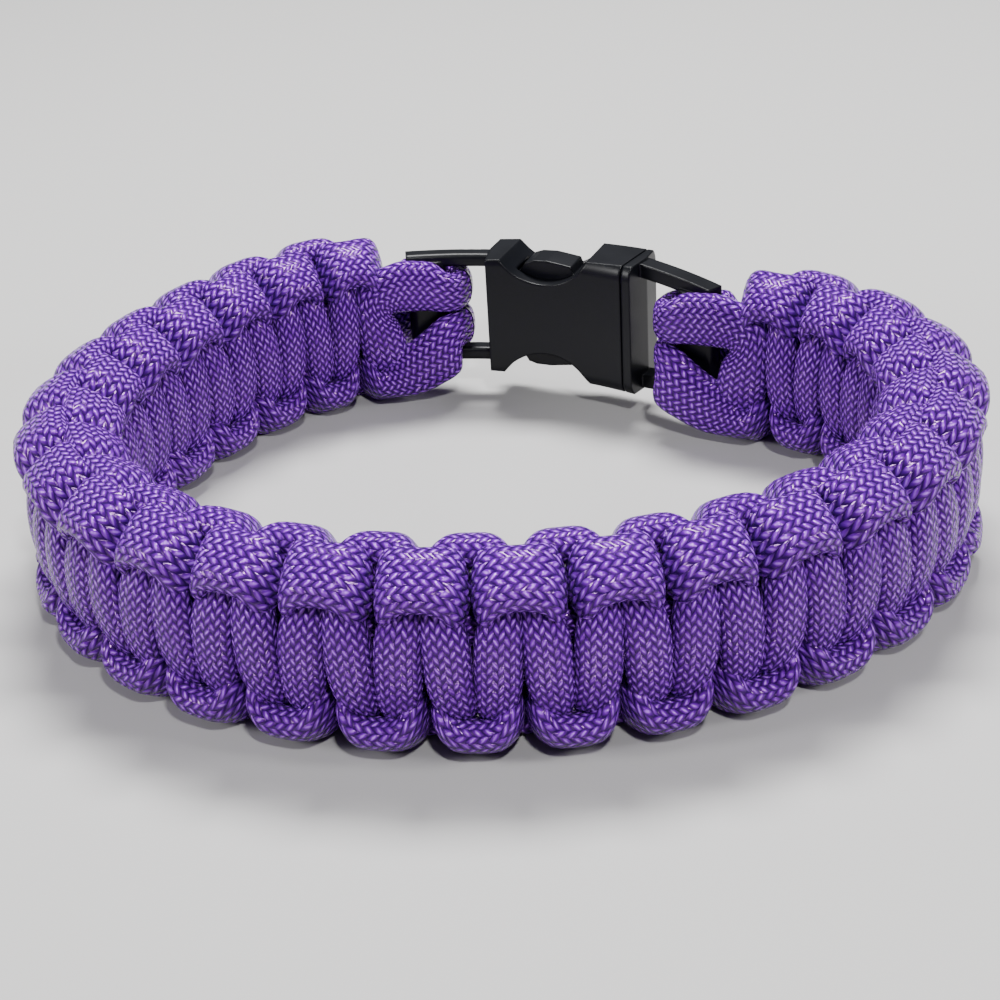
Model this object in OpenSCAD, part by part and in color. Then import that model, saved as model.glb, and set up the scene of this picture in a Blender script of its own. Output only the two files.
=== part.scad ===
// Paracord bracelet: one long cord knotted in a cobra weave over its own two core strands,
// looped at both ends round the bars of a curved side-release buckle.
// The ring lies on its side, so the width of the band stands upright. Lengths are in millimetres.
// +X is the wearer's left to right, the buckle is at the back (+Y) and +Z is up.
// The origin is under the middle of the ring, on the surface that it lies on.

/* [Ring] */
// Width of the ring, on the middle line of the band
ring_width = 81; // [72:0.5:92]
// Depth of the ring from its front to its buckle, on the same line
ring_depth = 65.4; // [58:0.2:76]
// How far the buckle's left end stands out of the plain oval, and its right end in
buckle_slant = 5; // [0:0.25:6]

/* [Weave] */
// Width of the woven band, which is its height as it lies
band_width = 19.2; // [17.6:0.1:22]
// Thickness of the woven band
band_thickness = 9.5; // [9:0.1:11]
// Length of two half-knots along the band, rounded so that whole half-knots fill it
knot_pitch = 7.7; // [7:0.1:8.6]
// Diameter of each squeezed core strand
core_d = 3.4; // [2.6:0.1:3.6]
// Bare cord from a bar of the buckle to the first crossing of the weave
bare_loop = 6.8; // [6.4:0.1:9]

/* [Buckle] */
// Distance between the axes of the two bars
bar_span = 31.2; // [29:0.2:36]
// Height of the buckle across the band, where it is highest
buckle_width = 14.8; // [14:0.1:16]
// How much lower the buckle is at its ends
end_taper = 1.8; // [1:0.1:2.2]
// How far the buckle sits above the middle of the band
buckle_rise = 0.9; // [0:0.1:1.2]
// Thickness of the buckle
buckle_thickness = 6.4; // [6:0.1:7.6]
// Radius of the arch of the buckle
buckle_arch = 40; // [36:1:80]
// Thickness of the bars that the cord goes round
bar_d = 2.4; // [1.8:0.1:2.6]
// How much wider than thick the bars are
bar_flat = 2; // [1:0.1:2.4]
// Height of the rails that carry each bar
rail_height = 1.5; // [1.4:0.1:1.7]
// Thickness of those rails
rail_thickness = 2; // [1.6:0.1:2.2]
// Thickness of the cord where it goes round a bar
loop_thickness = 2.5; // [2:0.1:2.8]
// Gap that shows between the looped cord and the buckle's body
slot_gap = 2.1; // [1:0.1:2.2]
// Wall of the buckle's housing
housing_wall = 1.4; // [1.2:0.1:1.6]
// Thickness of the plug's end plate
plate_thickness = 1.1; // [0.8:0.1:1.6]
// Radius of the finger scoops in the two edges of the housing
scoop_radius = 5.6; // [5:0.1:6]
// How deep the finger scoops are cut
scoop_depth = 2.8; // [2.4:0.1:3]

/* [Hidden] */
$fn = 96;

PURPLE = [0.36, 0.16, 0.62];
VIOLET = [0.44, 0.24, 0.72];
LILAC = [0.52, 0.34, 0.78];
BLACK = [0.10, 0.10, 0.11];
CHARCOAL = [0.19, 0.19, 0.21];

// Clearances: cord to bar and rail, plug to housing, and the two ends of a cut cord
cord_gap = 0.25;
plug_gap = 0.2;
seam_gap = 0.22;

// How far the rails lie below the edges of the buckle's body
rail_inset = 0.2;

// Directions seen from the ring's middle: the buckle's middle, and where its slant is nil
buckle_angle = 79;
slant_angle = 87;
slant_spread = 24;

// Middle line of the band: an oval, pushed out on one side of the buckle and in on the other
function oval(t) = [ring_width / 2 * cos(t), ring_depth / 2 * sin(t)];
full_turn = 360;
function turn_between(t, middle) = (t - middle + 2.5 * full_turn) % full_turn - full_turn / 2;
function slant(t) =
    let (u = turn_between(t, slant_angle) / slant_spread)
    buckle_slant * u * exp((1 - u * u) / 2);
function ring_point(t) = oval(t) * (1 + slant(t) / norm(oval(t)));

// Run along the middle line, counter-clockwise from the middle of the buckle
RUN = [
    for (i = 0, run = 0; i <= full_turn; run = run + norm(ring_point(buckle_angle + i + 1)
            - ring_point(buckle_angle + i)), i = i + 1)
        [run, buckle_angle + i]
];
ring_length = RUN[full_turn][0];

RING = [for (t = [0:full_turn - 1]) ring_point(t)];
ring_middle = [
    max([for (q = RING) q.x]) + min([for (q = RING) q.x]),
    max([for (q = RING) q.y]) + min([for (q = RING) q.y])
] / 2;

function middle_at(run) = ring_point(lookup(run, RUN)) - ring_middle;
reach = 1.5;
function direction_at(run) =
    let (d = middle_at(run + reach) - middle_at(run - reach))
    d / norm(d);

// A place in the band: x is the run along it, y the height over its middle and z outward
function place(q) =
    let (c = middle_at(q.x), d = direction_at(q.x))
    [c.x + q.z * d.y, c.y - q.z * d.x, band_width / 2 + q.y];

// Runs of the left bar and of the first and last crossing
function bar_run(run) =
    norm(middle_at(run) - middle_at(ring_length - run)) >= bar_span ? run : bar_run(run + 0.02);
left_bar = bar_run(bar_span / 2);
first_crossing = left_bar + bare_loop;
woven_length = ring_length - 2 * first_crossing;
crossings = 2 * round((2 * woven_length / knot_pitch + 1) / 2);
half_pitch = woven_length / (crossings - 1);

// Shares in the tables below are of these: half a pitch along, half the width up, half the thickness out
SHARES = [half_pitch, band_width / 2, band_thickness / 2];

function times(v, m) = [v.x * m.x, v.y * m.y, v.z * m.z];
function moved(station, along) = [station[0] + [along, 0, 0], station[1], station[2]];
function changed(station, middle, across, thick) =
    [times(station[0], middle), times(station[1], across), times(station[2], thick)];

// Upper half of a strand that crosses the outer face upward and dives over the edge to the inner bump.
// Each row is a station: its middle, its half width and its half thickness, in shares.
UPPER = [
    [[-0.03, 0.36, 0.69], [0.455, 0, 0], [0, 0.03, 0.285]],
    [[-0.25, 0.45, 0.33], [0.22, 0, 0], [0, 0.075, 0.12]],
    [[-0.25, 0.675, -0.2], [0.215, 0, 0.06], [0, 0.07, 0.12]],
    [[-0.19, 0.8, -0.575], [0.2, 0, 0.365], [0, 0.2, 0]]
];
LOWER = [for (i = [len(UPPER) - 1:-1:0]) changed(UPPER[i], [-1, -1, 1], [1, 1, -1], [-1, -1, 1])];
RISING = concat(LOWER, UPPER);

// The mirror image along the band, which is also the order from right to left
function mirror_image(rows, middle = 0) = [
    for (i = [len(rows) - 1:-1:0])
        moved(changed(rows[i], [-1, 1, 1], [-1, 1, 1], [-1, 1, 1]), 2 * middle)
];
FALLING = mirror_image(RISING);

WEAVE = [
    for (k = [0:crossings - 1])
        for (row = k % 2 == 0 ? RISING : FALLING)
            moved(changed(row, SHARES, SHARES, SHARES), first_crossing + k * half_pitch)
];

// The same weave half a turn round the band's own line: it crosses the inner face the other way
INNER_WEAVE = [for (row = WEAVE) changed(row, [1, -1, -1], [1, -1, -1], [1, -1, -1])];

// Cord round a bar, from the slot over the inner side (side = -1) or the outer side (side = 1)
half_loop = loop_thickness / 2;
half_flat = bar_flat / 2;
end_height = buckle_width - end_taper;
loop_radius = bar_d / 2 + cord_gap + half_loop;
rail_middle = (end_height - rail_height) / 2 - rail_inset;
loop_half_width = (rail_middle - rail_height / 2 - 2 * cord_gap) / 2;
loop_height = loop_half_width + cord_gap / 2;
LOOP_ANGLES = [asin(seam_gap / 2 / loop_radius), 30, 60];

// Runs between which the cord lies on the flat of the bar
LEAVING = [left_bar - half_flat, left_bar + half_flat];
function loop_place(angle, side) =
    [LEAVING[0] - loop_radius * cos(angle), buckle_rise, side * loop_radius * sin(angle)];
function loop_out(angle, side) = half_loop * [-cos(angle), 0, side * sin(angle)];

// Stations between a loop and the weave, in shares of the bare cord along, of half the band's width up
// and of half its thickness out
LEFT_RETURN = [0.45, -0.7, -0.68];
RIGHT_RETURN = [0.53, -0.68, -0.68];
LEVEL = [0.42, 0.39, -0.68];
CORNER = [0.99, 0.32, -0.66];
BARE_SHARES = [bare_loop, band_width / 2, band_thickness / 2];
function past_bar(shares) = [left_bar, 0, 0] + times(shares, BARE_SHARES);

// How far the cord stands off the flat of the bar where it leaves it, clear of the ends of the rails
inward_slack = 0.4;

// The outer cord leaves its loop aslant for the lower edge of the band
outer_lift = -0.1;
function outer_end(return) = concat(
    [for (a = LOOP_ANGLES) [
        loop_place(a, -1) - [0, loop_height, 0], loop_out(a, -1), [0, -loop_half_width, 0]]],
    [for (i = [0, 1]) [
        [LEAVING[i], buckle_rise - loop_height + outer_lift, -loop_radius - i * inward_slack],
        [0, 0, -half_loop],
        [0, -loop_half_width, 0]]],
    [[past_bar(return), [0, 0, -half_loop], times([0.08, -0.24, 0], BARE_SHARES)]]
);
OUTER_ROWS = concat(
    outer_end(LEFT_RETURN),
    WEAVE,
    mirror_image(outer_end(RIGHT_RETURN), ring_length / 2)
);

// The inner cord rises and spreads where it leaves its loop, in front of the rail, and stays level up to the
// corner where it turns down across the inner face
INNER_SPREAD = [0.3, 0.4];
inner_lift = 1.2;
INNER_END = concat(
    [for (a = LOOP_ANGLES) [
        loop_place(a, -1) + [0, loop_height, 0], [0, loop_half_width, 0], loop_out(a, -1)]],
    [for (i = [0, 1]) [
        [LEAVING[i], buckle_rise + loop_height + inner_lift * (i + 1) / 2, -loop_radius - i * inward_slack],
        [0, loop_half_width + INNER_SPREAD[i], 0],
        [0, 0, -half_loop]]],
    [
        [past_bar(LEVEL), [0, loop_half_width + INNER_SPREAD[1], 0], [0, 0, -half_loop]],
        [past_bar(CORNER), times([0.25, 0.17, 0], BARE_SHARES), [0, 0, -half_loop]]
    ]
);
turned_rows = len(UPPER);
INNER_ROWS = concat(
    INNER_END,
    [for (i = [turned_rows:len(WEAVE) - 1 - turned_rows]) INNER_WEAVE[i]],
    mirror_image(INNER_END, ring_length / 2)
);

// A core strand leaves its loop on the outer side and sinks to the middle of the band. SINK holds shares
// of the bare cord along, of the way from the loop's height and width to the core's, of the loop's radius
// out, and of the way from the loop's thickness to the core's.
SINK = [[0.38, 0.45, 0.84, 0], [0.57, 0.8, 0.4, 0.5], [0.75, 1, 0.06, 1]];
core_height = core_d / 2 + cord_gap / 2;
function sinking(shares, side) =
    let (half_width = loop_half_width + (core_d / 2 - loop_half_width) * shares[1])
    [
        [
            left_bar + shares[0] * bare_loop,
            buckle_rise * (1 - shares[1]) + side * (half_width + cord_gap / 2),
            shares[2] * loop_radius
        ],
        [0, side * half_width, 0],
        [0, 0, half_loop + (core_d / 2 - half_loop) * shares[3]]
    ];
function core_end(side) = concat(
    [for (a = LOOP_ANGLES) [
        loop_place(a, 1) + [0, side * loop_height, 0], [0, side * loop_half_width, 0], loop_out(a, 1)]],
    [for (run = LEAVING) [
        [run, buckle_rise + side * loop_height, loop_radius],
        [0, side * loop_half_width, 0],
        [0, 0, half_loop]]],
    [for (shares = SINK) sinking(shares, side)]
);
function core_rows(side) =
    let (end = core_end(side))
    concat(
        end,
        [for (k = [0:crossings - 1]) [
            [first_crossing + k * half_pitch, side * core_height, 0],
            [0, side * core_d / 2, 0],
            [0, 0, core_d / 2]]],
        mirror_image(end, ring_length / 2)
    );

// Outline of a squeezed cord, in shares of its half width and half thickness
OUTLINE = [[1, 0], [0.55, 1], [-0.55, 1], [-1, 0], [-0.55, -1], [0.55, -1]];

// A cord along its stations; turned says that its outline runs the other way round
module cord(rows, turned = false) {
    sides = len(OUTLINE);
    last = (len(rows) - 1) * sides;
    points = [
        for (row = rows)
            for (q = OUTLINE)
                place(row[0] + q.x * row[1] + q.y * row[2])
    ];
    walls = [
        for (i = [0:len(rows) - 2])
            for (j = [0:sides - 1])
                let (a = i * sides + j, b = i * sides + (j + 1) % sides)
                    each [[a, b, b + sides], [a, b + sides, a + sides]]
    ];
    ends = [
        for (j = [1:sides - 2])
            each [[0, j + 1, j], [last, last + j, last + j + 1]]
    ];
    faces = concat(walls, ends);
    polyhedron(points, turned ? [for (f = faces) [f[2], f[1], f[0]]] : faces, convexity = 10);
}

module outer_cord() {
    color(PURPLE) cord(OUTER_ROWS);
}

module inner_cord() {
    color(VIOLET) cord(INNER_ROWS);
}

module upper_core() {
    color(LILAC) cord(core_rows(1), turned = true);
}

module lower_core() {
    color(LILAC) cord(core_rows(-1));
}

// The buckle's own frame: middle between the bars, +X to the right bar and +Y out of the ring
bar_left = middle_at(left_bar);
bar_right = middle_at(ring_length - left_bar);
function heading(v) = atan2(v.y, v.x);
chord_heading = heading(bar_right - bar_left);
function bar_turn(run) = heading(-direction_at(run)) - chord_heading;
module at_buckle() {
    middle = (bar_left + bar_right) / 2;
    translate([middle.x, middle.y, band_width / 2 + buckle_rise])
        rotate([0, 0, chord_heading])
            children();
}

// An outline in thickness and height, carried along the buckle's arch from one run to another
arch_drop = sqrt(pow(buckle_arch, 2) - pow(bar_span / 2, 2));
function arch_angle(run) = run / buckle_arch * 180 / PI;
module along_arch(from, to) {
    translate([0, -arch_drop, 0])
        rotate([0, 0, 90 - arch_angle(to)])
            rotate_extrude(angle = arch_angle(to - from))
                translate([buckle_arch, 0])
                    children();
}

module rounded_outline(thickness, height, radius) {
    square([thickness - 2 * radius, height], center = true);
    square([thickness, height - 2 * radius], center = true);
    for (x = [-1, 1])
        for (y = [-1, 1])
            translate([x * (thickness / 2 - radius), y * (height / 2 - radius)])
                circle(radius);
}

// Seen from outside the ring: a four-sided shape between two runs, given by its heights at each
module side_view(runs, heights) {
    rotate([90, 0, 0])
        linear_extrude(4 * buckle_thickness, center = true)
            polygon([
                [runs[0], heights[0][0]],
                [runs[1], heights[1][0]],
                [runs[1], heights[1][1]],
                [runs[0], heights[0][1]]
            ]);
}

// Runs along the arch, from the middle of the buckle
bar_arc = asin(bar_span / 2 / buckle_arch) * buckle_arch * PI / 180;
body_end = bar_arc - half_flat - loop_radius - half_loop - slot_gap;
housing_end = body_end - plate_thickness - plug_gap;
scoop_run = -2;
rail_root = 1;
rail_end = bar_arc + half_flat + bar_d / 2;

corner_share = 0.32;
edge_radius = corner_share * buckle_thickness;
rail_radius = corner_share * rail_height;

// The body is lowest at its left end and highest at its right end, and the rails there slope back again.
// Its rounded outline is a little too high, so that the sloping edges cut its corners cleanly.
function body_half(run) = buckle_width / 2 - end_taper / 2 * (body_end - run) / (2 * body_end);
end_half = end_height / 2;
scoop_height = body_half(scoop_run) - scoop_depth + scoop_radius;

cut_off = 0.5;
module body(from, to) {
    intersection() {
        along_arch(from, to)
            rounded_outline(buckle_thickness, buckle_width + 2 * cut_off, edge_radius);
        side_view([-body_end, body_end], [[-end_half, end_half], [-buckle_width / 2, buckle_width / 2]]);
    }
}

module bar(side) {
    translate([side * bar_span / 2, 0, 0])
        rotate([0, 0, bar_turn(side < 0 ? left_bar : ring_length - left_bar)])
            linear_extrude(2 * rail_middle, center = true) {
                square([bar_flat, bar_d], center = true);
                for (x = [-1, 1])
                    translate([x * half_flat, 0])
                        circle(d = bar_d);
            }
}

module left_rails() {
    for (z = [-1, 1])
        along_arch(-rail_end, rail_root - body_end)
            translate([0, z * rail_middle])
                rounded_outline(rail_thickness, rail_height, rail_radius);
}

module right_rails() {
    root = body_end - plate_thickness / 2;
    top = [buckle_width / 2 - rail_inset, end_half - rail_inset];
    for (z = [0, 1])
        mirror([0, 0, z])
            intersection() {
                along_arch(root, rail_end)
                    square([rail_thickness, buckle_width], center = true);
                side_view([root, rail_end], [[top[0] - rail_height, top[0]], [top[1] - rail_height, top[1]]]);
            }
}

// The two finger scoops
module finger_scoops() {
    for (z = [-1, 1])
        translate([scoop_run, 0, z * scoop_height])
            rotate([90, 0, 0])
                cylinder(r = scoop_radius, h = 4 * buckle_thickness, center = true);
}

cavity_end = -body_end + housing_wall;
cavity_thickness = buckle_thickness - 2 * housing_wall;
cavity_height = end_height - 2 * housing_wall;

module buckle_socket() {
    color(BLACK)
        at_buckle() {
            difference() {
                body(-body_end, housing_end);
                along_arch(cavity_end, housing_end + 1)
                    square([cavity_thickness, cavity_height], center = true);
                finger_scoops();
            }
            left_rails();
            bar(-1);
        }
}

// Side view of one prong: a springy arm with a broad head, whose pad fills the scoop between the walls
prong_height = cavity_height / 2 - plug_gap;
prong_root = body_end - plate_thickness / 2;
tip_slack = 0.4;
prong_tip = cavity_end + plug_gap + tip_slack;
tip_height = 2.6;
arm_height = 2.1;
arm_drop = 0.9;
head_slope = 1.2;
head_height = 4;
pad_height = body_half(scoop_run) - 0.75;
PAD = [[3, -1.2], [2.7, -0.35], [0, 0.05], [-1.6, 0], [-2.5, -0.3], [-3, -1.2]];
module prong_outline() {
    polygon(concat(
        [[prong_root, prong_height - arm_drop]],
        [for (q = PAD) [scoop_run + q.x, pad_height + q.y]],
        [
            [prong_tip, prong_height - arm_drop],
            [prong_tip, prong_height - tip_height],
            [scoop_run + PAD[0].x, prong_height - head_height],
            [scoop_run + PAD[0].x + head_slope, prong_height - arm_drop - arm_height],
            [prong_root, prong_height - arm_drop - arm_height]
        ]
    ));
}

// A flat guide between the prongs
guide_tip = -3;
guide_height = 1.6;
guide_thickness = 2.2;

module buckle_plug() {
    inside_thickness = cavity_thickness - 2 * plug_gap;
    color(CHARCOAL)
        at_buckle() {
            body(body_end - plate_thickness, body_end);
            for (z = [0, 1])
                mirror([0, 0, z])
                    intersection() {
                        along_arch(cavity_end, prong_root)
                            square([inside_thickness, buckle_width], center = true);
                        rotate([90, 0, 0])
                            linear_extrude(4 * buckle_thickness, center = true)
                                prong_outline();
                    }
            along_arch(guide_tip, prong_root)
                square([guide_thickness, guide_height], center = true);
            right_rails();
            bar(1);
        }
}

outer_cord();
inner_cord();
upper_core();
lower_core();
buckle_socket();
buckle_plug();
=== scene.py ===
# The looks of a paracord bracelet with a curved side-release buckle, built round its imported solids.
# Lengths are in millimetres until a mesh is made, in the part's own frame: the ring lies on its side,
# the buckle is at the back (+Y) and +Z is up.
import math

import bmesh
import bpy
import numpy as np
from mathutils import Matrix, Vector


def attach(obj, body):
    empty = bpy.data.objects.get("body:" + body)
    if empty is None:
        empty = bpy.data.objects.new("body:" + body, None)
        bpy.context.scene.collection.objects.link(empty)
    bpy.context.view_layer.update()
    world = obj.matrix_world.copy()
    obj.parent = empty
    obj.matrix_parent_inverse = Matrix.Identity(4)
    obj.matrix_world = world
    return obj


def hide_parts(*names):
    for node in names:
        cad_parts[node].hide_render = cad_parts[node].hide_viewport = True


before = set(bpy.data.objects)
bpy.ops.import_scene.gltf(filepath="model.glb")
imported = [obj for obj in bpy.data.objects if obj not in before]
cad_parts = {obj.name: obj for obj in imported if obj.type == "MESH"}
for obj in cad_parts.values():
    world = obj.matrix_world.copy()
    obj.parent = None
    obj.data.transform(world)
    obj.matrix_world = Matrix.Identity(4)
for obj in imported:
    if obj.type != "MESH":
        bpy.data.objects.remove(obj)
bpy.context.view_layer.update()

MM = 0.001

# Camera
CAMERA_PLACE = (-0.54, -184.6, 104.9)
CAMERA_PITCH = 28.6
CAMERA_ROLL = -3.3
CAMERA_FOCAL = 2.153
SENSOR = 36.0
CLIP_NEAR = 10
CLIP_FAR = 10000

# Ring
RING_WIDTH = 81.0
RING_DEPTH = 65.4
BUCKLE_SLANT = 5.0
SLANT_ANGLE = 87.0
SLANT_SPREAD = 24.0
BUCKLE_ANGLE = 79.0
DIRECTION_REACH = 1.5
BAR_STEP = 0.02

# Weave
BAND_WIDTH = 19.2
BAND_THICKNESS = 9.5
KNOT_PITCH = 7.7
CORE_D = 3.4
CORE_SPREAD = 1.0
BARE_LOOP = 6.8
CORD_GAP = 0.25
SEAM_GAP = 0.22

# Buckle
BAR_SPAN = 31.2
BUCKLE_WIDTH = 14.8
END_TAPER = 1.8
BUCKLE_RISE = 0.9
BAR_D = 2.4
BAR_FLAT = 2.0
RAIL_HEIGHT = 1.5
LOOP_THICKNESS = 2.5
RAIL_INSET = 0.2
EDGE_RADIUS = 0.35

# Surface of a strand: pieces between two stations, sides and squareness of its section
PIECES = 3
SIDES = 20
SQUARENESS = 2.4
SHORTEST_STEP = 0.3

# Braid: columns of floats round the cord, the pitch along a column, and one float of yarn
COLUMNS = 24
COLUMN_WIDTH = 0.51
STITCH_LENGTH = 0.88
FLOAT_ANGLE = 43
FLOAT_HALF_LENGTH = 0.53
FLOAT_HALF_WIDTH = 0.265
FLOAT_SQUARENESS = 2.3
FLOAT_ROUNDNESS = 0.5
FLOAT_RELIEF = 0.45

# Yarn: painted shade for the gaps between floats, the yarn's own colour on the floats and a painted
# glint for their crests, the first two in darker and lighter tones, and the noise that mixes them, in
# waves to the metre
YARN_PAINTED_PIT_SHADE = ((0.017, 0.0002, 0.066, 1), (0.025, 0.0005, 0.092, 1))
YARN_TOP = ((0.125, 0.003, 0.35, 1), (0.175, 0.008, 0.46, 1))
# Painted glint: the pale colour of the highlight painted on the floats' crests
PAINTED_GLINT_COLOUR = (0.52, 0.18, 1.0, 1)
PIT_SHADE_SHARPNESS = 1.2
GLINT_SPOT_LENGTH = 1 / 1.5
GLINT_SPOT_WIDTH = 1 / 2.7
PAINTED_GLINT_STRENGTH = 0.8
GLINT_START = 0.25
GLINT_GAIN = 3.0
CLOUD_WAVES = 60
GLINT_WAVES = 700
YARN_FINISH = {
    "Roughness": 0.2,
    "Sheen Weight": 0.03,
    "Sheen Roughness": 0.4,
    "Sheen Tint": (0.8, 0.7, 1.0, 1),
    "Specular IOR Level": 0.6,
    "Specular Tint": (0.85, 0.42, 1.0, 1),
}

# Moulded plastic
PLASTIC_SHADES = ((0.0015, 0.0018, 0.003, 1), (0.003, 0.0035, 0.0055, 1))
PLASTIC_ROUGHNESS = 0.3
PLASTIC_ROUGHNESS_SPREAD = 0.12
PLASTIC_CLOUD_WAVES = 250
PLASTIC_GRAIN_WAVES = 4000
PLASTIC_GRAIN = 0.02
PLASTIC_GRAIN_STRENGTH = 0.3
PLASTIC_SPECULAR = 0.22
EDGE_SAMPLES = 8

# Floor and light: name, place, place aimed at, width and depth, and power in watts
FLOOR_HALF = 3000
FLOOR_COLOUR = (0.40, 0.395, 0.39, 1)
FLOOR_ROUGHNESS = 0.8
LIGHTS = [
    ("back", (20, 170, 420), (0, 0, 10), (200, 120), 5.6),
    ("left", (-360, -120, 170), (0, -10, 10), (90, 90), 1.1),
    ("right", (360, -140, 190), (0, -10, 10), (90, 90), 1.1),
    ("front", (50, -290, 340), (0, 0, 10), (30, 30), 1.3),
]
SKY_COLOUR = (0.55, 0.57, 0.62, 1)
SKY_STRENGTH = 0.2


def link(thing):
    bpy.context.scene.collection.objects.link(thing)
    return thing


def make_camera():
    """The photograph's viewing angle."""
    data = bpy.data.cameras.new("camera")
    data.sensor_width = SENSOR
    data.lens = SENSOR * CAMERA_FOCAL
    data.clip_start = CLIP_NEAR * MM
    data.clip_end = CLIP_FAR * MM
    camera = link(bpy.data.objects.new("camera", data))
    pitch = Matrix.Rotation(math.radians(90 - CAMERA_PITCH), 4, "X")
    roll = Matrix.Rotation(math.radians(CAMERA_ROLL), 4, "Z")
    camera.matrix_world = Matrix.Translation(Vector(CAMERA_PLACE) * MM) @ pitch @ roll
    bpy.context.scene.camera = camera


make_camera()


# Middle line of the band
def ring_point(t):
    """Places on the middle line at angles t in degrees, before the ring is centred."""
    t = np.atleast_1d(t)
    r = np.radians(t)
    p = np.stack([RING_WIDTH / 2 * np.cos(r), RING_DEPTH / 2 * np.sin(r)], 1)
    u = ((t - SLANT_ANGLE + 180) % 360 - 180) / SLANT_SPREAD
    slant = BUCKLE_SLANT * u * np.exp((1 - u * u) / 2)
    return p * (1 + slant / np.linalg.norm(p, axis=1))[:, None]


# Run is the length along the middle line from the buckle's middle, and TURN the angle at each RUN
TURN = BUCKLE_ANGLE + np.arange(361)
RUN = np.concatenate([[0], np.cumsum(np.linalg.norm(np.diff(ring_point(TURN), axis=0), axis=1))])
RING_LENGTH = RUN[-1]
RING = ring_point(np.arange(360))
RING_MIDDLE = (RING.max(0) + RING.min(0)) / 2


def middle_at(run):
    """Places on the middle line of the centred ring."""
    return ring_point(np.interp(run, RUN, TURN)) - RING_MIDDLE


def place(q):
    """Places in the ring for rows of run, height over the middle and distance outward."""
    q = np.asarray(q, float).reshape(-1, 3)
    run, height, out = q.T
    d = middle_at(run + DIRECTION_REACH) - middle_at(run - DIRECTION_REACH)
    d /= np.linalg.norm(d, axis=1)[:, None]
    c = middle_at(run)
    return np.stack([c[:, 0] + out * d[:, 1], c[:, 1] - out * d[:, 0], BAND_WIDTH / 2 + height], 1)


def bar_run():
    """Run from the buckle's middle to the bar at its left end."""
    run = BAR_SPAN / 2
    while np.linalg.norm(middle_at(run) - middle_at(RING_LENGTH - run)) < BAR_SPAN:
        run += BAR_STEP
    return run


LEFT_BAR = bar_run()
FIRST = LEFT_BAR + BARE_LOOP
WOVEN = RING_LENGTH - 2 * FIRST
CROSSINGS = 2 * round((2 * WOVEN / KNOT_PITCH + 1) / 2)
HALF_PITCH = WOVEN / (CROSSINGS - 1)
SHARES = np.array([HALF_PITCH, BAND_WIDTH / 2, BAND_THICKNESS / 2])

# A station is a strand's middle, half thickness and half width, in rows of run, height and outward.
# UPPER is the upper half of a strand that crosses the outer face upward, dives over the edge and ends
# in the middle of its bump on the inner side, in shares of half a pitch, half the band's width and
# half its thickness.
UPPER = np.array([
    [[0.00, 0.00, 0.70], [0, 0, 0.30], [-0.505, 0, 0]],
    [[-0.03, 0.22, 0.66], [0, 0.03, 0.30], [-0.50, 0, 0]],
    [[-0.09, 0.40, 0.54], [0, 0.08, 0.27], [-0.45, 0, 0]],
    [[-0.16, 0.53, 0.30], [0, 0.13, 0.20], [-0.37, 0, 0]],
    [[-0.22, 0.58, 0.02], [0, 0.18, 0.14], [-0.31, 0, 0]],
    [[-0.25, 0.60, -0.20], [0, 0.24, 0.26], [-0.26, 0, -0.02]],
    [[-0.22, 0.65, -0.35], [0, 0.26, 0.42], [-0.22, 0.05, -0.09]],
    [[-0.11, 0.715, -0.445], [0, 0.22, 0.51], [-0.15, 0.10, -0.15]],
    [[0.08, 0.765, -0.485], [0, 0.175, 0.53], [-0.06, 0.132, -0.178]],
    [[0.50, 0.778, -0.49], [0, 0.155, 0.525], [0, 0.135, -0.182]],
])


def changed(rows, middle, thick, wide):
    """Stations with each of their three vectors multiplied by one of its own."""
    return rows * np.array([middle, thick, wide])


def mirror_image(rows, middle=0.0):
    """The mirror image along the band, which also runs the other way."""
    out = changed(rows[::-1], [-1, 1, 1], [-1, 1, 1], [-1, 1, 1])
    out[:, 0, 0] += 2 * middle
    return out


def both_ends(end, middle):
    """Stations with the same end, mirrored, on both sides of the buckle."""
    return np.concatenate([end, middle, mirror_image(end, RING_LENGTH / 2)])


LOWER = changed(UPPER[::-1], [-1, -1, 1], [-1, -1, 1], [1, 1, -1])
RISING = np.concatenate([LOWER, UPPER[1:]])
FALLING = mirror_image(RISING)


def weave():
    """The strand that crosses the outer face, up and down in turn."""
    parts = []
    for k in range(CROSSINGS):
        rows = (RISING if k % 2 == 0 else FALLING) * SHARES
        rows[:, 0, 0] += FIRST + k * HALF_PITCH
        parts.append(rows[1:] if k else rows)
    return np.concatenate(parts)


# The strand that crosses the inner face is the same, turned half round the band's middle line
WEAVE = weave()
INNER_WEAVE = changed(WEAVE, [1, -1, -1], [1, -1, -1], [1, -1, -1])

# Loops round the bars, with their turns in degrees from the slot
HALF_LOOP = LOOP_THICKNESS / 2
LOOP_RADIUS = BAR_D / 2 + CORD_GAP + HALF_LOOP
LOOP_HALF_WIDTH = ((BUCKLE_WIDTH - END_TAPER) / 2 - RAIL_INSET - RAIL_HEIGHT - 2 * CORD_GAP) / 2
LOOP_HEIGHT = LOOP_HALF_WIDTH + CORD_GAP / 2
INNER_TURNS = [math.degrees(math.asin(SEAM_GAP / 2 / LOOP_RADIUS)), 30]
OUTER_TURNS = INNER_TURNS + [60]
FLAT_START = LEFT_BAR - BAR_FLAT / 2
FLAT_END = LEFT_BAR + BAR_FLAT / 2

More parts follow.
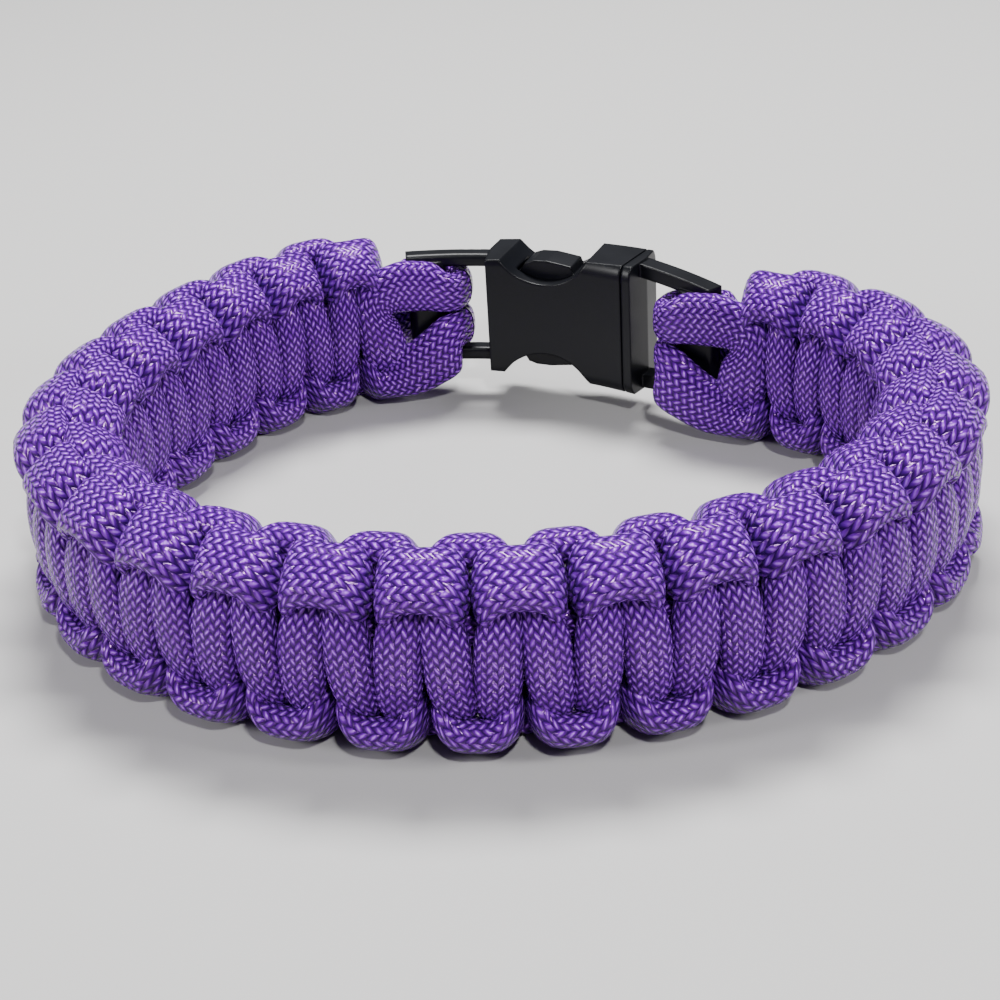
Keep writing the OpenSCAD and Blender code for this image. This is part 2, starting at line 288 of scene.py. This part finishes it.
# Past the bar: run from the bar's middle, height over the middle, distance outward, the turn round the
# bar and the strand's slope in degrees, and its half width. The outer strand drops to its first
# crossing, and the inner one stays level up to the corner that it turns at.
DROP = [
    [-2.95, -2.05, -2.35, 60, -26, 2.8],
    [-2.1, -3.1, -2.75, 78, -36, 3.2],
    [0.1, -4.55, -3.0, 90, -40, 3.2],
    [2.8, -5.7, -3.15, 90, -28, 2.95],
]
LEVEL = [
    [-2.35, 3.65, -2.4, 60, 10, 2.4],
    [-1.0, 4.3, -2.75, 88, 6, 2.75],
    [0.8, 4.5, -3.0, 90, 3, 2.85],
    [3.2, 4.5, -3.2, 90, -6, 2.85],
]

# The corner, in shares of the bare cord and of half the band's width and thickness
BARE = np.array([BARE_LOOP, BAND_WIDTH / 2, BAND_THICKNESS / 2])
CORNER = np.array([0.92, 0.34, -0.66])
CORNER_HALF_WIDTH = np.array([0.31, 0.19, 0])


def loop_rows(side, height, turns, way=1):
    """Stations round the left bar from the slot, over the inner (-1) or outer (1) side."""
    rows = []
    for turn in turns:
        c = math.cos(math.radians(turn))
        s = math.sin(math.radians(turn))
        middle = [FLAT_START - LOOP_RADIUS * c, BUCKLE_RISE + height, side * LOOP_RADIUS * s]
        inward = [HALF_LOOP * c, 0, -side * HALF_LOOP * s]
        rows.append([middle, inward, [0, way * LOOP_HALF_WIDTH, 0]])
    return np.array(rows)


def leaving_rows(table):
    """Stations of a strand that leaves the left bar over the inner side."""
    rows = []
    for run, height, out, turn, slope, half_width in table:
        a = math.radians(turn)
        b = math.radians(slope)
        rows.append([
            [LEFT_BAR + run, height, out],
            [HALF_LOOP * math.cos(a), 0, HALF_LOOP * math.sin(a)],
            [-half_width * math.sin(b), half_width * math.cos(b), 0],
        ])
    return np.array(rows)


OUTER_END = np.concatenate([loop_rows(-1, -LOOP_HEIGHT, INNER_TURNS), leaving_rows(DROP)])
OUTER_ROWS = both_ends(OUTER_END, WEAVE[1:-1])

# The sections of the inner weave point the other way, so its end's are turned to match
CORNER_ROW = [[[LEFT_BAR, 0, 0] + CORNER * BARE, [0, 0, HALF_LOOP], CORNER_HALF_WIDTH * BARE]]
INNER_END = np.concatenate([loop_rows(-1, LOOP_HEIGHT, INNER_TURNS), leaving_rows(LEVEL), CORNER_ROW])
INNER_END[:, 1:] *= -1

# The first crossing is wider from the face's middle on, with no other beside it
FREE_SWELL = np.array([0.8, 1.05, 1.15, 1.05, 0.75, 0.35])
FREE_START = len(UPPER) - 1
FREE_END = FREE_START + len(FREE_SWELL)
FIRST_CROSSING = INNER_WEAVE[FREE_START:FREE_END].copy()
FIRST_CROSSING[:, 0, 0] -= FREE_SWELL
FIRST_CROSSING[:, 2, 0] -= FREE_SWELL
INNER_ROWS = both_ends(np.concatenate([INNER_END, FIRST_CROSSING]), INNER_WEAVE[FREE_END:-FREE_END])

# A core strand leaves its loop on the outer side and sinks to the middle of the band. SINK holds shares
# of the bare cord along, of the way from the loop's height and width to the core's, of the loop's radius
# out, and of the way from the loop's thickness to the core's.
SINK = [[0.38, 0.45, 0.84, 0], [0.57, 0.8, 0.4, 0.5], [0.75, 1, 0.06, 1]]


def sinking(shares, side):
    """The station of a core strand for one row of SINK."""
    along, inward, out, swell = shares
    spread = CORE_SPREAD * 2 * inward * (1 - inward)
    half_width = LOOP_HALF_WIDTH + (CORE_D / 2 - LOOP_HALF_WIDTH) * inward + spread
    half_thickness = HALF_LOOP + (CORE_D / 2 - HALF_LOOP) * swell
    height = BUCKLE_RISE * (1 - inward) + side * (half_width + CORD_GAP / 2)
    return [
        [LEFT_BAR + along * BARE_LOOP, height, out * LOOP_RADIUS],
        [0, 0, -half_thickness],
        [0, -side * half_width, 0],
    ]


def core_rows(side):
    """Stations of the upper (1) or lower (-1) core strand."""
    end = loop_rows(1, side * LOOP_HEIGHT, OUTER_TURNS, -side).tolist()
    for run in (FLAT_START, FLAT_END):
        end.append([
            [run, BUCKLE_RISE + side * LOOP_HEIGHT, LOOP_RADIUS],
            [0, 0, -HALF_LOOP],
            [0, -side * LOOP_HALF_WIDTH, 0],
        ])
    for shares in SINK:
        end.append(sinking(shares, side))
    straight = []
    for k in range(CROSSINGS):
        straight.append([
            [FIRST + k * HALF_PITCH, side * (CORE_D / 2 + CORD_GAP / 2), 0],
            [0, 0, -CORE_D / 2],
            [0, -side * CORE_D / 2, 0],
        ])
    return both_ends(np.array(end), straight)


def smoothed(rows):
    """Hermite curves through the stations."""
    knots = np.linalg.norm(np.diff(rows[:, 0], axis=0), axis=1)
    t = np.concatenate([[0], np.cumsum(np.maximum(knots, SHORTEST_STEP))])
    flat = rows.reshape(len(rows), -1)
    slope = np.zeros_like(flat)
    slope[1:-1] = (flat[2:] - flat[:-2]) / (t[2:] - t[:-2])[:, None]
    slope[0] = (flat[1] - flat[0]) / (t[1] - t[0])
    slope[-1] = (flat[-1] - flat[-2]) / (t[-1] - t[-2])
    out = []
    for i in range(len(rows) - 1):
        h = t[i + 1] - t[i]
        for j in range(PIECES):
            u = j / PIECES
            near = (2 * u ** 3 - 3 * u ** 2 + 1) * flat[i] + (u ** 3 - 2 * u ** 2 + u) * h * slope[i]
            far = (3 * u ** 2 - 2 * u ** 3) * flat[i + 1] + (u ** 3 - u ** 2) * h * slope[i + 1]
            out.append(near + far)
    out.append(flat[-1])
    return np.array(out).reshape(-1, 3, 3)


def outline():
    """A rounded section of unit half thickness and half width."""
    a = 2 * math.pi * np.arange(SIDES) / SIDES
    c = np.cos(a)
    s = np.sin(a)
    thick = np.sign(c) * np.abs(c) ** (2 / SQUARENESS)
    wide = np.sign(s) * np.abs(s) ** (2 / SQUARENESS)
    return np.stack([thick, wide], 1)


def tube_faces(n):
    """Faces of a closed tube of n sections."""
    faces = []
    for i in range(n - 1):
        near = i * SIDES
        far = near + SIDES
        for j in range(SIDES):
            k = (j + 1) % SIDES
            faces.append((near + j, near + k, far + k, far + j))
    last = (n - 1) * SIDES
    faces.append(tuple(range(SIDES)))
    faces.append(tuple(last + j for j in reversed(range(SIDES))))
    return faces


def braid_map(places, centre):
    """Stitches along and columns round at each corner of a tube's faces."""
    n = len(places)
    steps = np.linalg.norm(np.diff(centre, axis=0), axis=1)
    along = np.concatenate([[0], np.cumsum(steps)]) / STITCH_LENGTH
    edges = np.linalg.norm(np.roll(places, -1, axis=1) - places, axis=2)
    around = np.concatenate([np.zeros((n, 1)), np.cumsum(edges, axis=1)], axis=1)
    around *= COLUMNS / around[:, -1:]
    i, j = np.meshgrid(np.arange(n - 1), np.arange(SIDES), indexing="ij")
    corners = ((i, j), (i, j + 1), (i + 1, j + 1), (i + 1, j))
    walls = np.stack([np.stack([along[a], around[a, b]], -1) for a, b in corners], 2).reshape(-1, 2)
    ends = np.zeros((2 * SIDES, 2))
    return np.concatenate([walls, ends])


def turn_outward(mesh):
    """Turns a closed mesh's faces outward."""
    b = bmesh.new()
    b.from_mesh(mesh)
    if b.calc_volume(signed=True) < 0:
        bmesh.ops.reverse_faces(b, faces=b.faces)
    b.to_mesh(mesh)
    b.free()


def strand(name, rows):
    """A braided cord along its stations."""
    rows = smoothed(rows)
    n = len(rows)
    section = outline()[None]
    thick = section[:, :, :1] * rows[:, None, 1]
    wide = section[:, :, 1:] * rows[:, None, 2]
    places = place(rows[:, None, 0] + thick + wide).reshape(n, SIDES, 3)
    mesh = bpy.data.meshes.new(name)
    mesh.from_pydata((places.reshape(-1, 3) * MM).tolist(), [], tube_faces(n))
    uv = mesh.uv_layers.new(name="braid")
    uv.data.foreach_set("uv", braid_map(places, place(rows[:, 0])).ravel())
    mesh.polygons.foreach_set("use_smooth", [True] * len(mesh.polygons))
    mesh.update()
    piece = link(bpy.data.objects.new(name, mesh))
    turn_outward(mesh)
    return piece


# Materials
class Nodes:
    """A short way to write a material's arithmetic."""

    def __init__(self, name):
        self.material = bpy.data.materials.new(name)
        self.material.use_nodes = True
        self.tree = self.material.node_tree
        self.inputs = self.tree.nodes["Principled BSDF"].inputs

    def node(self, kind):
        return self.tree.nodes.new(kind)

    def link(self, value, socket):
        if hasattr(value, "is_output"):
            self.tree.links.new(value, socket)
        else:
            socket.default_value = value

    def math(self, operation, *values, clamp=False):
        n = self.node("ShaderNodeMath")
        n.operation = operation
        n.use_clamp = clamp
        for i, value in enumerate(values):
            self.link(value, n.inputs[i])
        return n.outputs[0]

    def power(self, value, exponent):
        return self.math("POWER", self.math("ABSOLUTE", value), exponent)

    def mix(self, factor, a, b):
        n = self.node("ShaderNodeMix")
        n.data_type = "RGBA"
        self.link(factor, n.inputs["Factor"])
        self.link(a, n.inputs[6])
        self.link(b, n.inputs[7])
        return n.outputs[2]

    def noise(self, waves):
        n = self.node("ShaderNodeTexNoise")
        self.link(self.node("ShaderNodeTexCoord").outputs["Object"], n.inputs["Vector"])
        n.inputs["Scale"].default_value = waves
        return n.outputs["Fac"]

    def bump(self, height, strength, distance, normal=None):
        n = self.node("ShaderNodeBump")
        n.inputs["Strength"].default_value = strength
        n.inputs["Distance"].default_value = distance * MM
        self.link(height, n.inputs["Height"])
        if normal is not None:
            self.link(normal, n.inputs["Normal"])
        return n.outputs["Normal"]


def float_shares(m):
    """Lengthwise and across one float of yarn, in shares of its half length and half width."""
    uv = m.node("ShaderNodeUVMap")
    uv.uv_map = "braid"
    split = m.node("ShaderNodeSeparateXYZ")
    m.link(uv.outputs["UV"], split.inputs[0])
    along = split.outputs[0]
    around = split.outputs[1]
    column = m.math("FLOOR", around)
    odd = m.math("MODULO", column, 2.0)
    side = m.math("SUBTRACT", m.math("MULTIPLY", odd, 2.0), 1.0)
    x = m.math("MULTIPLY", m.math("SUBTRACT", m.math("SUBTRACT", around, column), 0.5), side)
    slide = m.math("ADD", m.math("SUBTRACT", along, x), m.math("MULTIPLY", odd, 0.5))
    stitch = m.math("FLOOR", slide)
    y = m.math("ADD", m.math("SUBTRACT", m.math("SUBTRACT", slide, stitch), 0.5), x)
    s = math.sin(math.radians(FLOAT_ANGLE))
    c = math.cos(math.radians(FLOAT_ANGLE))
    lengthwise = m.math("ADD", m.math("MULTIPLY", x, COLUMN_WIDTH * s / FLOAT_HALF_LENGTH),
                        m.math("MULTIPLY", y, STITCH_LENGTH * c / FLOAT_HALF_LENGTH))
    across = m.math("SUBTRACT", m.math("MULTIPLY", x, COLUMN_WIDTH * c / FLOAT_HALF_WIDTH),
                    m.math("MULTIPLY", y, STITCH_LENGTH * s / FLOAT_HALF_WIDTH))
    return lengthwise, across


def braid_material():
    m = Nodes("braided_nylon")
    lengthwise, across = float_shares(m)
    swell = m.math("SUBTRACT", 1.0, m.power(lengthwise, 2.0), clamp=True)
    ridge = m.math("SUBTRACT", 1.0, m.power(across, FLOAT_SQUARENESS), clamp=True)
    height = m.math("MULTIPLY", swell, m.math("POWER", ridge, FLOAT_ROUNDNESS))
    cloud = m.noise(CLOUD_WAVES)
    # The painted shade for the gaps between floats and the yarn's own colour, each mixed at random from
    # two tones
    pit_shade = m.mix(cloud, *YARN_PAINTED_PIT_SHADE)
    top = m.mix(cloud, *YARN_TOP)
    # A painted glint: a paler spot painted on the crest of each float as a highlight, stronger on some
    # than on others
    glint_spot = m.math("ADD", m.power(m.math("DIVIDE", lengthwise, GLINT_SPOT_LENGTH), 2.0),
                  m.power(m.math("DIVIDE", across, GLINT_SPOT_WIDTH), 2.0))
    painted_glint = m.math("MULTIPLY", m.math("SUBTRACT", 1.0, glint_spot), PAINTED_GLINT_STRENGTH, clamp=True)
    shine = m.math("SUBTRACT", m.noise(GLINT_WAVES), GLINT_START)
    lit = m.math("MULTIPLY", shine, GLINT_GAIN, clamp=True)
    # Painted shade: the colour darkens towards the pit shade where each float sinks into the gaps beside
    # it
    yarn = m.mix(m.math("POWER", height, PIT_SHADE_SHARPNESS), pit_shade, top)
    m.link(m.mix(m.math("MULTIPLY", painted_glint, lit), yarn, PAINTED_GLINT_COLOUR), m.inputs["Base Color"])
    m.link(m.bump(height, 1.0, FLOAT_RELIEF), m.inputs["Normal"])
    for name, value in YARN_FINISH.items():
        m.inputs[name].default_value = value
    return m.material


def plastic_material():
    m = Nodes("satin_acetal")
    cloud = m.noise(PLASTIC_CLOUD_WAVES)
    m.link(m.mix(cloud, *PLASTIC_SHADES), m.inputs["Base Color"])
    rough = m.math("ADD", m.math("MULTIPLY", cloud, PLASTIC_ROUGHNESS_SPREAD), PLASTIC_ROUGHNESS)
    m.link(rough, m.inputs["Roughness"])
    rounded = m.node("ShaderNodeBevel")
    rounded.samples = EDGE_SAMPLES
    rounded.inputs["Radius"].default_value = EDGE_RADIUS * MM
    grain = m.noise(PLASTIC_GRAIN_WAVES)
    normal = m.bump(grain, PLASTIC_GRAIN_STRENGTH, PLASTIC_GRAIN, rounded.outputs["Normal"])
    m.link(normal, m.inputs["Normal"])
    m.inputs["Specular IOR Level"].default_value = PLASTIC_SPECULAR
    return m.material


BRAID = braid_material()
PLASTIC = plastic_material()

STRANDS = [
    ("outer_strand", OUTER_ROWS, "outer_cord"),
    ("inner_strand", INNER_ROWS, "inner_cord"),
    ("upper_core_strand", core_rows(1), "upper_core"),
    ("lower_core_strand", core_rows(-1), "lower_core"),
]
for name, rows, cad in STRANDS:
    piece = strand(name, rows)
    piece.data.materials.append(BRAID)
    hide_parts(cad)
    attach(piece, "root")

for name in ("buckle_socket", "buckle_plug"):
    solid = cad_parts[name]
    solid.data.materials.clear()
    solid.data.materials.append(PLASTIC)


def make_floor():
    mesh = bpy.data.meshes.new("floor")
    s = FLOOR_HALF * MM
    mesh.from_pydata([(-s, -s, 0), (s, -s, 0), (s, s, 0), (-s, s, 0)], [], [(0, 1, 2, 3)])
    floor = link(bpy.data.objects.new("floor", mesh))
    m = Nodes("pale_floor")
    m.inputs["Base Color"].default_value = FLOOR_COLOUR
    m.inputs["Roughness"].default_value = FLOOR_ROUGHNESS
    floor.data.materials.append(m.material)


def area_light(name, at, aim, size, power):
    data = bpy.data.lights.new(name, "AREA")
    data.shape = "RECTANGLE"
    data.size = size[0] * MM
    data.size_y = size[1] * MM
    data.energy = power
    light = link(bpy.data.objects.new(name, data))
    turn = (Vector(aim) - Vector(at)).to_track_quat("-Z", "Y").to_matrix().to_4x4()
    light.matrix_world = Matrix.Translation(Vector(at) * MM) @ turn


def make_sky():
    world = bpy.data.worlds.new("studio")
    world.use_nodes = True
    sky = world.node_tree.nodes["Background"].inputs
    sky["Color"].default_value = SKY_COLOUR
    sky["Strength"].default_value = SKY_STRENGTH
    bpy.context.scene.world = world


make_floor()
for light in LIGHTS:
    area_light(*light)
make_sky()
